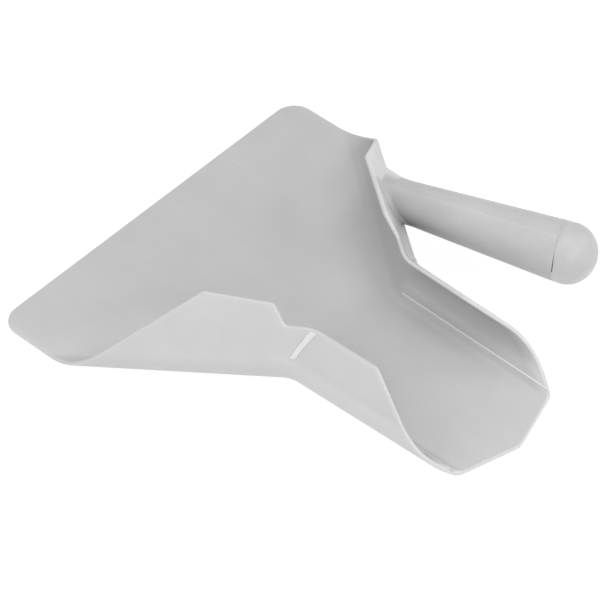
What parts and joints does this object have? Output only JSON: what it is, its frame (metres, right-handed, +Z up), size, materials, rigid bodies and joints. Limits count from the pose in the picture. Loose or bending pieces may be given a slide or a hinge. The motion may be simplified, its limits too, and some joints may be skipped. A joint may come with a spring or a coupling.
{
  "type": "bagging scoop",
  "caption": "Wide flat plastic scoop with curled-in wings, a narrow pointed outlet chute and a tapered round handle on the right wing.",
  "frame": {"origin": "on the flat underside of the pan, on its centre line, halfway along its length", "axes": "+Z up from the underside, +Y forward to the wide mouth, +X to the right, the handle's side"},
  "size_m": [0.2218, 0.2468, 0.0507],
  "materials": {
    "pan_plastic": "satin moulded plastic, light grey",
    "grip_plastic": "satin moulded plastic, light grey",
    "zinc_steel": "zinc-plated steel"
  },
  "bodies": {
    "root": {"scoop_pan": "pan_plastic", "handle_grip": "grip_plastic", "handle_end_cap": "grip_plastic", "grip_screw": "zinc_steel", "grip_washer": "zinc_steel"}
  },
  "joints": []
}
